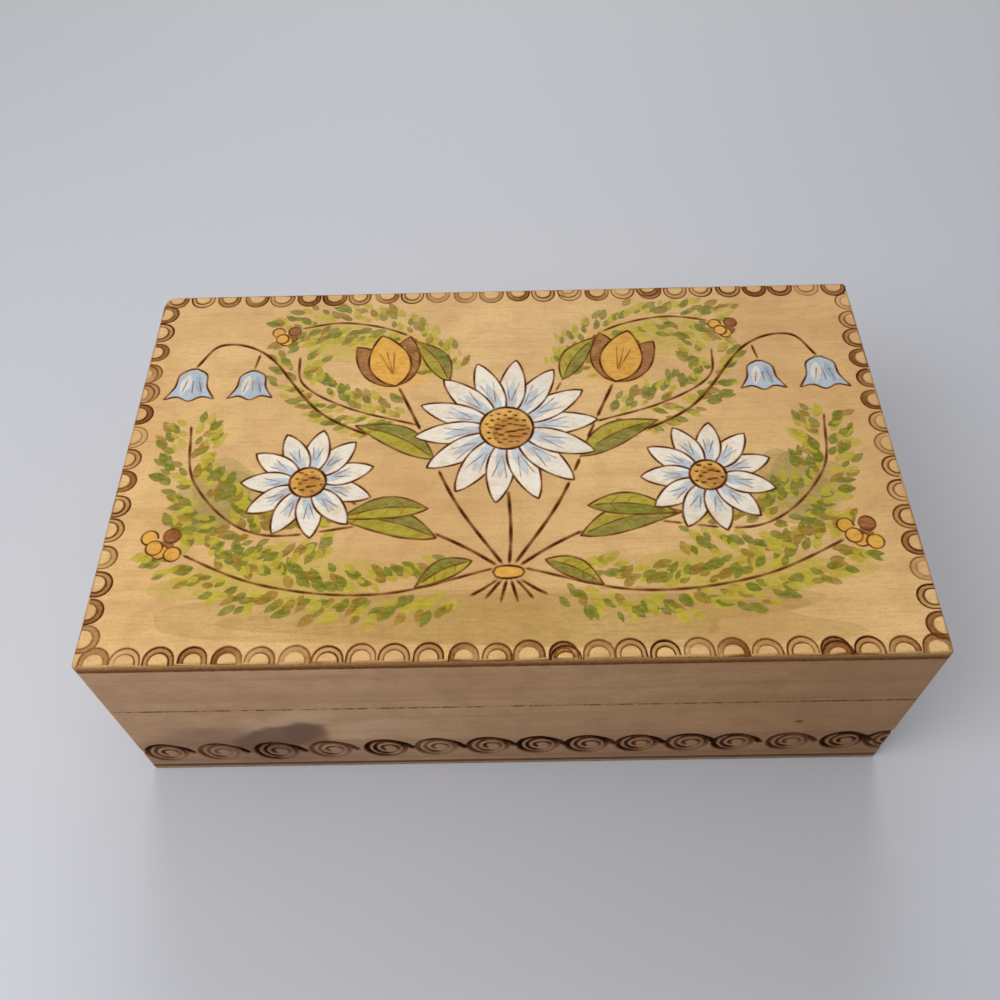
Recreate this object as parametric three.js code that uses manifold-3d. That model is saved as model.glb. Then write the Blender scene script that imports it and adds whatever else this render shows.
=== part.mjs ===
// Hinged wooden keepsake box: a tray and a lid, each a frame of four rabbeted boards closed by a
// thin glued panel, joined by two small butt hinges that lie in a bevelled seam at the back.
// Millimetres, +Z up, front towards -Y, origin at the middle of the underside.

import * as THREE from "three";
import { mergeVertices } from "three/addons/utils/BufferGeometryUtils.js";
import Module from "manifold-3d";

// Box
const BOX_LENGTH = 180;
const BOX_DEPTH = 108;
const BASE_HEIGHT = 34.5; // underside to the rim of the tray
const LID_HEIGHT = 22.6; // rim of the lid to its top face
const SEAM_GAP = 0.3; // the saw cut between the two rims
const WALL = 9;
const BOTTOM_PANEL = 2.2;
const TOP_PANEL = 2.5;
const GLUE_LINE = 0.1;

// Corners and arrises
const CORNER_LIP = 3.6; // wood that the front and back boards keep over the ends of the side boards
const CORNER_RADIUS = 1;
const WORN_CORNER_RADIUS = 3.5; // the lid's back left corner is rubbed round
const TOP_EDGE_RADIUS = 0.5;
const BOTTOM_EDGE_RADIUS = 0.5;

// Back seam: both rims are bevelled from the hinge axis outwards, and the bevels stop the lid
const KNUCKLE_SETBACK = 0.3; // hinge knuckles to the back face
const BACK_BEVEL_DEGREES = 50;

// Hinges
const HINGE_SPACING = 104; // middle to middle
const HINGE_LENGTH = 20;
const KNUCKLE_RADIUS = 1.7;
const MIDDLE_KNUCKLE = 8; // length of the knuckle that turns with the lid
const KNUCKLE_GAP = 0.3;
const PIN_RADIUS = 0.8;
const PIN_CHAMFER = 0.2;
const PIN_CLEARANCE = 0.15;
const LEAF_THICKNESS = 0.8;
const LEAF_COVER = 1; // wood between a leaf's end and the inside of the box
const LEAF_CORNER_RADIUS = 0.6;
const SEAT_CLEARANCE = 0.2; // round a leaf in its mortise
const BARREL_CLEARANCE = 0.4; // round the knuckles

// Hinge screws
const SCREW_SPACING = 12; // the two screws of one leaf
const SCREW_LENGTH = 7;
const SCREW_HEAD_RADIUS = 1.3;
const SCREW_SHANK_RADIUS = 0.65;
const SCREW_TIP = 1.2;
const SLOT_WIDTH = 0.4;
const SLOT_DEPTH = 0.35;
const SCREW_CLEARANCE = 0.15;

// Facets
const ARC_STEPS = 6;
const ROUND_STEPS = 24;
const SCREW_STEPS = 16;
const CUT_MARGIN = 1; // how far a cutting solid runs past what it cuts
const MERGE_DISTANCE = 1e-4; // corners nearer than this are one corner

// Places worked out from the sizes
const SEAM_HEIGHT = BASE_HEIGHT + SEAM_GAP / 2;
const AXIS_INSET = KNUCKLE_RADIUS + KNUCKLE_SETBACK; // hinge axis to the back face
const HINGE_Y = BOX_DEPTH / 2 - AXIS_INSET;
const HALF_GAP = SEAM_GAP / 2;
const LEAF_REACH = WALL - AXIS_INSET - LEAF_COVER;
const LEAF_START = KNUCKLE_RADIUS + KNUCKLE_GAP; // where a leaf clears the other leaf's knuckles
const SCREW_SETBACK = (LEAF_START + LEAF_REACH) / 2; // hinge axis to the line of screws
const BASE_WALL_HEIGHT = BASE_HEIGHT - BOTTOM_PANEL - GLUE_LINE;
const LID_RAIL_HEIGHT = LID_HEIGHT - TOP_PANEL - GLUE_LINE;
const HINGE_CENTRES = { left: -HINGE_SPACING / 2, right: HINGE_SPACING / 2 };
const SCREW_CENTRES = { left: -SCREW_SPACING / 2, right: SCREW_SPACING / 2 };
const BELOW = -1; // the side of the seam that the tray is on
const ABOVE = 1;

const wasm = await Module();
wasm.setup();

const LIME_WOOD = { color: 0xa98660, roughness: 0.55, metalness: 0 };
const PANEL_WOOD = { color: 0xd9b078, roughness: 0.4, metalness: 0 };
const HINGE_BRASS = { color: 0xb08d4a, roughness: 0.35, metalness: 1 };
const SCREW_BRASS = { color: 0x9c7b3e, roughness: 0.4, metalness: 1 };

// A closed geometry as a solid for cutting and joining.
function solidOf(geometry) {
  const bare = geometry.clone();
  bare.deleteAttribute("normal");
  bare.deleteAttribute("uv");
  const merged = mergeVertices(bare, MERGE_DISTANCE);
  return new wasm.Manifold(
    new wasm.Mesh({
      numProp: 3,
      vertProperties: new Float32Array(merged.attributes.position.array),
      triVerts: new Uint32Array(merged.index.array),
    }),
  );
}

// A solid as a geometry with flat facets.
function geometryOf(solid) {
  const mesh = solid.getMesh();
  const geometry = new THREE.BufferGeometry();
  geometry.setAttribute("position", new THREE.BufferAttribute(mesh.vertProperties, 3));
  geometry.setIndex(new THREE.BufferAttribute(mesh.triVerts, 1));
  const faceted = geometry.toNonIndexed();
  faceted.computeVertexNormals();
  return faceted;
}

function cut(geometry, cutters) {
  const left = cutters.reduce((solid, cutter) => solid.subtract(solidOf(cutter)), solidOf(geometry));
  return geometryOf(left);
}

function join(first, others) {
  const whole = others.reduce((solid, other) => solid.add(solidOf(other)), solidOf(first));
  return geometryOf(whole);
}

function piece(name, geometry, finish) {
  const mesh = new THREE.Mesh(geometry, new THREE.MeshStandardMaterial(finish));
  mesh.name = name;
  return mesh;
}

// A closed outline with a round corner of its own radius at each point. A radius of 0 keeps it sharp.
function roundedOutline(corners) {
  const shape = new THREE.Shape();
  corners.forEach(([x, y, radius], i) => {
    const here = new THREE.Vector2(x, y);
    const [beforeX, beforeY] = corners[(i + corners.length - 1) % corners.length];
    const [afterX, afterY] = corners[(i + 1) % corners.length];
    const from = new THREE.Vector2(beforeX, beforeY).sub(here).normalize().multiplyScalar(radius).add(here);
    const to = new THREE.Vector2(afterX, afterY).sub(here).normalize().multiplyScalar(radius).add(here);
    if (i === 0) shape.moveTo(from.x, from.y);
    else shape.lineTo(from.x, from.y);
    if (radius > 0) shape.quadraticCurveTo(here.x, here.y, to.x, to.y);
  });
  shape.closePath();
  return shape;
}

// An outline in plan, raised from one height by a thickness.
function raised(shape, fromHeight, thickness) {
  const options = { depth: thickness, bevelEnabled: false, curveSegments: ARC_STEPS };
  return new THREE.ExtrudeGeometry(shape, options).translate(0, 0, fromHeight);
}

// An outline across the box, in Y and Z, drawn out along X on both sides of x = 0.
function alongX(corners, length) {
  const shape = new THREE.Shape(corners.map(([y, z]) => new THREE.Vector2(y, z)));
  const [x, y, z] = [0, 1, 2].map((i) => new THREE.Vector3().setComponent(i, 1));
  return new THREE.ExtrudeGeometry(shape, { depth: length, bevelEnabled: false })
    .translate(0, 0, -length / 2)
    .applyMatrix4(new THREE.Matrix4().makeBasis(y, z, x));
}

function rodAlongX(radius, length, centreX) {
  return new THREE.CylinderGeometry(radius, radius, length, ROUND_STEPS)
    .rotateZ(Math.PI / 2)
    .translate(centreX, 0, 0);
}

function blockBetween([x0, y0, z0], [x1, y1, z1]) {
  return new THREE.BoxGeometry(Math.abs(x1 - x0), Math.abs(y1 - y0), Math.abs(z1 - z0)).translate(
    (x0 + x1) / 2,
    (y0 + y1) / 2,
    (z0 + z1) / 2,
  );
}

// The rectangle of the box in plan. The back left corner has its own radius.
function boxOutline(backLeftRadius) {
  const x = BOX_LENGTH / 2;
  const y = BOX_DEPTH / 2;
  return roundedOutline([
    [-x, -y, CORNER_RADIUS],
    [x, -y, CORNER_RADIUS],
    [x, y, CORNER_RADIUS],
    [-x, y, backLeftRadius],
  ]);
}

// A thin panel under or over a frame, with its outer arris rounded all round. Its inner face is at height 0.
function panel(outline, thickness, edgeRadius, side) {
  const rounded = new THREE.ExtrudeGeometry(outline, {
    depth: 2 * (thickness - edgeRadius),
    bevelThickness: edgeRadius,
    bevelSize: edgeRadius,
    bevelOffset: -edgeRadius,
    bevelSegments: ARC_STEPS / 2,
    curveSegments: ARC_STEPS,
  }).translate(0, 0, edgeRadius - thickness);
  const reach = BOX_LENGTH + BOX_DEPTH;
  const inner = blockBetween([-reach, -reach, 0], [reach, reach, -side * (thickness + CUT_MARGIN)]);
  return cut(rounded, [inner]);
}

// A long board in plan, outer face at y = 0 and inside towards +Y, with a rabbet at each end.
function longBoardOutline(leftRadius, rightRadius) {
  const end = BOX_LENGTH / 2;
  const shoulder = end - WALL - GLUE_LINE;
  return roundedOutline([
    [-end, 0, leftRadius],
    [end, 0, rightRadius],
    [end, CORNER_LIP, 0],
    [shoulder, CORNER_LIP, 0],
    [shoulder, WALL, 0],
    [-shoulder, WALL, 0],
    [-shoulder, CORNER_LIP, 0],
    [-end, CORNER_LIP, 0],
  ]);
}

function frontBoard(height, fromHeight) {
  const outline = longBoardOutline(CORNER_RADIUS, CORNER_RADIUS);
  return raised(outline, fromHeight, height).translate(0, -BOX_DEPTH / 2, 0);
}

// A side board, whose ends stand in the rabbets of the front and back boards.
function sideBoard(height, fromHeight, centreX) {
  const length = BOX_DEPTH - 2 * (CORNER_LIP + GLUE_LINE);
  return new THREE.BoxGeometry(WALL, length, height).translate(centreX, 0, fromHeight + height / 2);
}

// A back board in the hinge axis's own frame, on one side of the seam, with its bevel, the hinge
// mortises, the hollows for the knuckles and the screw holes.
function backBoard(side, height, backLeftRadius) {
  const outline = longBoardOutline(CORNER_RADIUS, backLeftRadius);
  const low = side === ABOVE ? HALF_GAP : -HALF_GAP - height;
  const board = raised(outline, low, height).rotateZ(Math.PI).translate(0, AXIS_INSET, 0);

  const reach = AXIS_INSET + CUT_MARGIN;
  const rise = side * reach * Math.tan(THREE.MathUtils.degToRad(BACK_BEVEL_DEGREES));
  const wedge = [
    [0, 0],
    [reach, 0],
    [reach, rise],
  ];
  if (side === BELOW) wedge.reverse();
  const cutters = [alongX(wedge, BOX_LENGTH + 2 * CUT_MARGIN)];

  const halfMortise = HINGE_LENGTH / 2 + SEAT_CLEARANCE;
  for (const centreX of Object.values(HINGE_CENTRES)) {
    const barrel = KNUCKLE_RADIUS + BARREL_CLEARANCE;
    cutters.push(rodAlongX(barrel, 2 * halfMortise, centreX));
    cutters.push(
      blockBetween(
        [centreX - halfMortise, -LEAF_REACH - SEAT_CLEARANCE, 0],
        [centreX + halfMortise, 0, side * (HALF_GAP + LEAF_THICKNESS + SEAT_CLEARANCE)],
      ),
    );
    for (const offsetX of Object.values(SCREW_CENTRES))
      cutters.push(placedScrew(side, centreX + offsetX, SCREW_CLEARANCE));
  }
  return cut(board, cutters);
}

// A countersunk screw, head up at height 0, grown all over by a clearance. Without one its head has no rim.
function screwBody(clearance) {
  const head = SCREW_HEAD_RADIUS + clearance;
  const shank = SCREW_SHANK_RADIUS + clearance;
  const profile = [
    [0, -SCREW_LENGTH - clearance],
    [shank, SCREW_TIP - SCREW_LENGTH - clearance],
    [shank, shank - head],
    [head, 0],
    [head, clearance],
    [0, clearance],
  ].filter(([radius, height], i, all) => i === 0 || radius !== all[i - 1][0] || height !== all[i - 1][1]);
  const points = profile.map(([radius, height]) => new THREE.Vector2(radius, height));
  return new THREE.LatheGeometry(points, SCREW_STEPS).rotateX(Math.PI / 2);
}

// A screw body in the hinge axis's frame, its head flush with the leaf on one side of the seam.
function placedScrew(side, centreX, clearance) {
  const body = screwBody(clearance);
  if (side === ABOVE) body.rotateX(Math.PI);
  return body.translate(centreX, -SCREW_SETBACK, side * HALF_GAP);
}

function hingeScrew(side, centreX) {
  const half = SCREW_HEAD_RADIUS + CUT_MARGIN;
  const slot = blockBetween(
    [centreX - half, -SCREW_SETBACK - SLOT_WIDTH / 2, 0],
    [centreX + half, -SCREW_SETBACK + SLOT_WIDTH / 2, side * (HALF_GAP + SLOT_DEPTH)],
  );
  return cut(placedScrew(side, centreX, 0), [slot]);
}

// The stretches of the barrel that belong to one leaf: the ends below the seam, the middle above it.
function knuckleSpans(side) {
  const end = HINGE_LENGTH / 2;
  const middle = MIDDLE_KNUCKLE / 2;
  if (side === ABOVE) return [[-middle, middle]];
  return [
    [-end, -middle - KNUCKLE_GAP],
    [middle + KNUCKLE_GAP, end],
  ];
}

// One leaf of a hinge in its own frame: a plate with rolled knuckles, a bore and countersunk holes.
function hingeLeaf(side) {
  const end = HINGE_LENGTH / 2;
  const plate = roundedOutline([
    [-end, -LEAF_REACH, LEAF_CORNER_RADIUS],
    [end, -LEAF_REACH, LEAF_CORNER_RADIUS],
    [end, -LEAF_START, 0],
    [-end, -LEAF_START, 0],
  ]);
  const low = side === ABOVE ? HALF_GAP : -HALF_GAP - LEAF_THICKNESS;
  const bore = PIN_RADIUS + PIN_CLEARANCE;
  const tabs = knuckleSpans(side).flatMap(([from, to]) => [
    blockBetween([from, -LEAF_START - CUT_MARGIN, low], [to, -bore, low + LEAF_THICKNESS]),
    rodAlongX(KNUCKLE_RADIUS, to - from, (from + to) / 2),
  ]);
  const blank = join(raised(plate, low, LEAF_THICKNESS), tabs);
  const holes = Object.values(SCREW_CENTRES).map((x) => placedScrew(side, x, SCREW_CLEARANCE));
  return cut(blank, [rodAlongX(bore, HINGE_LENGTH + 2 * CUT_MARGIN, 0), ...holes]);
}

function hingePin() {
  const end = HINGE_LENGTH / 2;
  const narrow = PIN_RADIUS - PIN_CHAMFER;
  const profile = [
    [0, -end],
    [narrow, -end],
    [PIN_RADIUS, PIN_CHAMFER - end],
    [PIN_RADIUS, end - PIN_CHAMFER],
    [narrow, end],
    [0, end],
  ];
  const points = profile.map(([radius, x]) => new THREE.Vector2(radius, x));
  return new THREE.LatheGeometry(points, ROUND_STEPS).rotateZ(Math.PI / 2);
}

// The tray
const base = new THREE.Group();
const baseFloor = BOTTOM_PANEL + GLUE_LINE;
const sideX = (BOX_LENGTH - WALL) / 2;
const bottom = panel(boxOutline(CORNER_RADIUS), BOTTOM_PANEL, BOTTOM_EDGE_RADIUS, BELOW);
const bottomPanel = piece("bottom_panel", bottom, LIME_WOOD);
bottomPanel.position.z = BOTTOM_PANEL;
base.add(
  bottomPanel,
  piece("base_front_wall", frontBoard(BASE_WALL_HEIGHT, baseFloor), LIME_WOOD),
  piece("base_left_wall", sideBoard(BASE_WALL_HEIGHT, baseFloor, -sideX), LIME_WOOD),
  piece("base_right_wall", sideBoard(BASE_WALL_HEIGHT, baseFloor, sideX), LIME_WOOD),
);

// What stays with the tray at the hinge axis
const baseBack = new THREE.Group();
baseBack.position.set(0, HINGE_Y, SEAM_HEIGHT);
baseBack.add(piece("base_back_wall", backBoard(BELOW, BASE_WALL_HEIGHT, CORNER_RADIUS), LIME_WOOD));
base.add(baseBack);

// The lid turns about the hinge axis: a negative rotation.x opens it
const lid = new THREE.Group();
lid.position.set(0, HINGE_Y, SEAM_HEIGHT);
const lidFrame = new THREE.Group();
lidFrame.position.set(0, -HINGE_Y, HALF_GAP);
const top = panel(boxOutline(WORN_CORNER_RADIUS), TOP_PANEL, TOP_EDGE_RADIUS, ABOVE);
const topPanel = piece("lid_top_panel", top, PANEL_WOOD);
topPanel.position.z = LID_HEIGHT - TOP_PANEL;
lidFrame.add(
  topPanel,
  piece("lid_front_rail", frontBoard(LID_RAIL_HEIGHT, 0), LIME_WOOD),
  piece("lid_left_rail", sideBoard(LID_RAIL_HEIGHT, 0, -sideX), LIME_WOOD),
  piece("lid_right_rail", sideBoard(LID_RAIL_HEIGHT, 0, sideX), LIME_WOOD),
);
lid.add(lidFrame, piece("lid_back_rail", backBoard(ABOVE, LID_RAIL_HEIGHT, WORN_CORNER_RADIUS), LIME_WOOD));

// The hinges, half on the tray and half on the lid
for (const [hand, centreX] of Object.entries(HINGE_CENTRES)) {
  const fixedHalf = new THREE.Group();
  fixedHalf.position.x = centreX;
  fixedHalf.add(
    piece(`hinge_${hand}_base_leaf`, hingeLeaf(BELOW), HINGE_BRASS),
    piece(`hinge_${hand}_pin`, hingePin(), HINGE_BRASS),
  );
  const movingHalf = new THREE.Group();
  movingHalf.position.x = centreX;
  movingHalf.add(piece(`hinge_${hand}_lid_leaf`, hingeLeaf(ABOVE), HINGE_BRASS));
  for (const [place, x] of Object.entries(SCREW_CENTRES)) {
    fixedHalf.add(piece(`hinge_${hand}_base_screw_${place}`, hingeScrew(BELOW, x), SCREW_BRASS));
    movingHalf.add(piece(`hinge_${hand}_lid_screw_${place}`, hingeScrew(ABOVE, x), SCREW_BRASS));
  }
  baseBack.add(fixedHalf);
  lid.add(movingHalf);
}

const box = new THREE.Group();
box.add(base, lid);

export default box;
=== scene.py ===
# Looks of a small hinged wooden box: burned ornament, painted lid, aged wood and brass.
# Shapes are worked out in millimetres, in the frame's own axes, and turned into metres when a mesh is made.

import random
from math import atan2, cos, exp, pi, radians, sin, sqrt

import bmesh
import bpy
import numpy as np
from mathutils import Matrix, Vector
from mathutils.geometry import delaunay_2d_cdt


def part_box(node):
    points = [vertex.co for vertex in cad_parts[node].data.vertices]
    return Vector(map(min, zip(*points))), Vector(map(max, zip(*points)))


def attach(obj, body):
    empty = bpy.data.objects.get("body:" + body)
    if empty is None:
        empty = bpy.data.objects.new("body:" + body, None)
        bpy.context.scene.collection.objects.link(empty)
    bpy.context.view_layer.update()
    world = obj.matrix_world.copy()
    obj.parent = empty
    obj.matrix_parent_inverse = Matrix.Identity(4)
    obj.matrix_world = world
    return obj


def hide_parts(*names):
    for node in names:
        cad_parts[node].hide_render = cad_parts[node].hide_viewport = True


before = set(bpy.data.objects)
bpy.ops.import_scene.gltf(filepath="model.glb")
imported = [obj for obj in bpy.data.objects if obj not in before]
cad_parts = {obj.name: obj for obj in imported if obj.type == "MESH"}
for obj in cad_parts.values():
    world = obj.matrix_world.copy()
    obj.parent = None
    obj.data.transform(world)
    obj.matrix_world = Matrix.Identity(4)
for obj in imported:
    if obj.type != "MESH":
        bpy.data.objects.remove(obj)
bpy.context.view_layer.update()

MM = 0.001
NEAR = 1e-4  # lengths below this count as nothing
NEVER_ZERO = 1e-12  # keeps a division from failing


def node_box(name):
    low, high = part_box(name)
    return np.array(low) / MM, np.array(high) / MM


# Sizes read from the frame
panel_low, panel_high = node_box("lid_top_panel")
wall_low, wall_high = node_box("base_front_wall")
rail_low, rail_high = node_box("lid_front_rail")
side_low, side_high = node_box("base_right_wall")
floor_low, floor_high = node_box("bottom_panel")
HALF_LENGTH = panel_high[0]
HALF_DEPTH = panel_high[1]
TOP = panel_high[2]
WALL = wall_high[1] - wall_low[1]
GLUE_LINE = wall_low[2] - floor_high[2]
CORNER_LIP = side_low[1] - wall_low[1] - GLUE_LINE
SEAM = (wall_high[2] + rail_low[2]) / 2
BOTTOM_JOINT = wall_low[2] - GLUE_LINE / 2
TOP_JOINT = rail_high[2] + GLUE_LINE / 2

# Rounding of corners and arrises
CORNER_RADIUS = 1.0
WORN_CORNER_RADIUS = 3.5
TOP_EDGE_RADIUS = 0.5
BOTTOM_EDGE_RADIUS = 0.5
TOP_JOINT_RADIUS = 0.12
BOTTOM_JOINT_RADIUS = 0.4
SEAM_EDGE_RADIUS = 0.1
ARC_STEPS = 6
EDGE_STEPS = 3
TOP_EDGE_STEPS = 4
TRIM_GAP = 0.01  # between a board and the CAD shape that it is cut to

# Burned lines
LINE_STEP = 0.42
LEAST_DEPTH = 0.03  # a line that only just touches a point leaves it where it is
BOARD_MARGIN = 0.02  # lines stop this far from the ends of a board
PANEL_MARGIN = 0.04  # and this far from the edge of the lid's panel
PHASES = 6.28  # the waves along a line start anywhere in this range

# Running scroll burned round the tray
SCROLL_SEED = 11
SCROLL_HEIGHT = 10.1
SCROLL_RISE = 1.2  # it climbs by this much along the left half of the front
SCROLL_RISE_AT = (-60, -8)
SCROLL_RADIUS = 4.5
SCROLL_TALL = 1.04  # height of a ring over its width
SCROLL_PITCH = 12.4
SCROLL_TURNS = 2.53
SCROLL_STEPS = 120
SCROLL_INNER_RADIUS = 1.15
SCROLL_GROWTH = 4.5  # of the radius, from the eye outwards
SCROLL_EYE_SHIFT = (1.0, -0.1)  # from the middle of the outer ring
SCROLL_EYE_RETURN = 2.2  # how soon the shift is gone, counted back from the tail
SCROLL_LEAVE = radians(30)  # clockwise from the top, where the tail leaves the ring
SCROLL_TAIL = 7.4
SCROLL_TAIL_STEPS = 12
SCROLL_TAIL_BEND = 1 / 15
SCROLL_TAIL_SWELL = (1.35, 1.75, 0.9)  # at its start, middle and end
SCROLL_LINE = 0.42
SCROLL_HALO = 0.5
SCROLL_DEPTH = 0.45
SCROLL_SHOULDER = 0.85
SCROLL_FADED_SIDE = radians(140)  # clockwise from the top, where the burn is faint
SCROLL_KNOT = 0.4  # share of the way out, where the burner rested and left a dark spot
SCROLL_KNOT_REACH = 0.03
SCROLL_FIRST = -84.2
SCROLL_FRONT_STEPS = (12.9, 13.8, 13.2, 13.4, 12.2, 12.5, 12.0, 11.7, 12.0, 12.0, 11.0, 13.2, 13.0, 10.5)

# How dark the rings and the tail of each spiral on the front are
SCROLL_FRONT_BURN = (
    (0.72, 1.0), (0.55, 1.0), (0.95, 0.95), (0.62, 0.68), (1.0, 0.9),
    (0.62, 1.0), (0.76, 0.92), (0.92, 0.98), (0.88, 0.95), (0.88, 0.95),
    (0.84, 0.9), (0.86, 0.85), (0.74, 0.66), (1.0, 0.8), (0.8, 0.8),
)

# Stamped border round the lid
STAMP_SEED = 23
STAMP_PITCH = 6.85
STAMP_RADIUS = 2.55
STAMP_FOOT = 1.8
STAMP_BAND = 0.66
STAMP_LINE = 0.25
STAMP_INSET = 0.95
STAMP_DEPTH = 0.3
STAMP_STEP = LINE_STEP * 1.5
STAMP_THIN = 0.85  # swell at the feet
STAMP_BAND_BURNS = (0.24, 0.3, 0.36, 0.42, 0.5)
STAMP_ONCE = 0.93  # share of the stamps that were struck only once
STAMP_SECOND_STRIKE = (0.4, -1.1)
FRONT_STAMP_SHIFT = 0.7

# Burned lines of the painted field
PAINT_SEED = 5
PAINT_LINE_DEPTH = 0.18
PAINT_LINE_HALO = 0.26
PAINT_LINE_SHOULDER = 0.2
LINE_FADE = 3  # points over which an open line fades in and out
DOT_POINTS = 7  # a shorter line is a dot, which doesn't fade

# Scorch on the edge of the panel: on its top by the distance from the edge, on its side by the height
TOP_SCORCH_AT = (0, 0.4, 0.9)
TOP_SCORCH = (0.28, 0.18, 0)
SIDE_SCORCH = ((1.6, 0.33), (1.0, 0.41), (0.3, 0.52))


def srgb(*levels):
    """A screen colour as linear light, for levels above 10."""
    return tuple(((level / 255 + 0.055) / 1.055) ** 2.4 for level in levels)


# Plan outlines

def unit(vectors):
    return vectors / np.maximum(np.hypot(*vectors.T), NEVER_ZERO)[:, None]


def within(points, low, high):
    """Indices of the points in a rectangle."""
    return np.flatnonzero(((points >= low) & (points <= high)).all(axis=1))


class Perimeter:
    """The box's outline in plan, anticlockwise. Distances along it count from the middle of the front."""

    def __init__(self, back_left_radius):
        radii = (CORNER_RADIUS, CORNER_RADIUS, back_left_radius, CORNER_RADIUS)
        back = np.array([(-1, 0), (0, -1), (1, 0), (0, 1)])  # from each corner, the way that the outline came
        t = np.linspace(0, 1, ARC_STEPS + 1)[:, None]
        arcs = []
        for before, after, radius in zip(back, np.roll(back, 1, axis=0), radii):
            corner = -(before + after) * (HALF_LENGTH, HALF_DEPTH)
            arcs.append(corner + radius * ((1 - t) ** 2 * before + t * t * after))
        self.points = np.vstack(arcs)
        edges = np.roll(self.points, -1, axis=0) - self.points
        self.lengths = np.hypot(*edges.T)
        self.start = HALF_LENGTH - CORNER_RADIUS
        self.marks = self.start + np.concatenate([[0], np.cumsum(self.lengths)])
        self.total = self.lengths.sum()
        self.facing = np.stack([edges[:, 1], -edges[:, 0]], axis=1) / self.lengths[:, None]
        self.normals = unit(self.facing + np.roll(self.facing, 1, axis=0))

    def at(self, along):
        """Plan points and outward normals at distances along the outline."""
        along = self.start + np.mod(along - self.start, self.total)

        def between(values):
            closed = np.vstack([values, values[:1]])
            return np.stack([np.interp(along, self.marks, column) for column in closed.T], axis=1)

        return between(self.points), unit(between(self.normals))

    def folds(self, low, high):
        """Where the outline bends between two distances."""
        found = np.concatenate([self.marks[:-1] + turn * self.total for turn in (-2, -1, 0, 1)])
        return sorted(m for m in found if low + NEAR < m < high - NEAR)

    def ring(self, inset, height):
        """The outline's points at a height, moved inwards."""
        return [(*point, height) for point in self.points - self.normals * inset]

    def edge_distance(self, points):
        """How far inside the outline points lie."""
        away = points[:, None, :] - self.points
        return -(away * self.facing).sum(-1).max(axis=1)


tray_outline = Perimeter(CORNER_RADIUS)
lid_outline = Perimeter(WORN_CORNER_RADIUS)


def long_board_end(radius):
    """From the middle of a long side to the end of its board, round a corner of this radius."""
    arc = tray_outline.lengths[:ARC_STEPS].sum() * radius / CORNER_RADIUS
    return HALF_LENGTH + CORNER_LIP - 2 * radius + arc


# Burned lines

class Stroke:
    """A line burned into a surface: a path, and what lies at each distance to its side.
    A station is (distance to the left, depth, burn)."""

    def __init__(self, path, stations, strength, swell):
        self.path = np.array(path, float)
        self.stations = stations
        self.strength = np.ones(len(self.path)) * strength
        self.swell = np.ones(len(self.path)) * swell

    def lines(self):
        """The lines that the mesh has to follow, one for each station."""
        ahead = unit(np.gradient(self.path, axis=0))
        left = np.stack([-ahead[:, 1], ahead[:, 0]], axis=1) * self.swell[:, None]
        return [self.path + distance * left for distance, _, _ in self.stations]

    def moved(self, shift):
        return Stroke(self.path + shift, self.stations, self.strength, self.swell)

    def apply(self, points, depth, burn):
        """Deepens and darkens the points that lie on the line."""
        places, depths, burns = np.array(self.stations).T
        reach = abs(places).max() * self.swell.max()
        near = within(points, self.path.min(0) - reach, self.path.max(0) + reach)
        if len(near) == 0:
            return
        starts = self.path[:-1]
        edge = self.path[1:] - starts
        away = points[near][:, None, :] - starts
        share = np.clip((away * edge).sum(-1) / np.maximum((edge * edge).sum(-1), NEVER_ZERO), 0, 1)
        offset = away - share[..., None] * edge
        distance = np.hypot(offset[..., 0], offset[..., 1])
        nearest = distance.argmin(axis=1)
        row = np.arange(len(near))
        turn = edge[nearest, 0] * away[row, nearest, 1] - edge[nearest, 1] * away[row, nearest, 0]
        blend = share[row, nearest]

        def along(values):
            return values[nearest] * (1 - blend) + values[nearest + 1] * blend

        strength = along(self.strength)
        side = np.where(turn >= 0, 1, -1) * distance[row, nearest] / along(self.swell)
        deep = np.interp(side, places, depths, left=0, right=0)
        dark = np.interp(side, places, burns, left=0, right=0)
        depth[near] = np.maximum(depth[near], deep * np.sqrt(strength))
        burn[near] = np.maximum(burn[near], dark * strength)


def line_stations(half_width, depth, halo, shoulder):
    """A burned line with scorched edges. A high shoulder gives it a flat floor."""
    edge = half_width + halo
    side = (depth * shoulder, 0.4 + 0.6 * shoulder)
    return [(-edge, 0, 0), (-half_width, *side), (0, depth, 1), (half_width, *side), (edge, 0, 0)]


def band_stations(outer_burn, band_burn, inner_burn):
    """A stamped half ring: outer line, lighter band, inner line."""
    edge, line, deep = STAMP_BAND, STAMP_LINE, STAMP_DEPTH

    def half(burn):
        return [(edge + line, 0, 0), (edge, deep * 0.8, burn), (edge - line * 0.6, deep, burn),
                (edge - line * 1.6, deep * 0.6, band_burn)]

    return [(-distance, *rest) for distance, *rest in half(outer_burn)] + half(inner_burn)[::-1]


def resampled(path, step):
    """The same path with evenly spaced points. Columns after the first two ride along."""
    path = np.array(path, float)
    marks = np.concatenate([[0], np.cumsum(np.hypot(*np.diff(path[:, :2], axis=0).T))])
    count = max(2, int(round(marks[-1] / step)) + 1)
    at = np.linspace(0, marks[-1], count)
    return np.stack([np.interp(at, marks, column) for column in path.T], axis=1)


def runs(mask):
    """First index of each stretch where a mask is true, and the index after it."""
    edges = np.flatnonzero(np.diff(np.concatenate([[0], mask.astype(int), [0]])))
    return list(zip(edges[::2], edges[1::2]))


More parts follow.
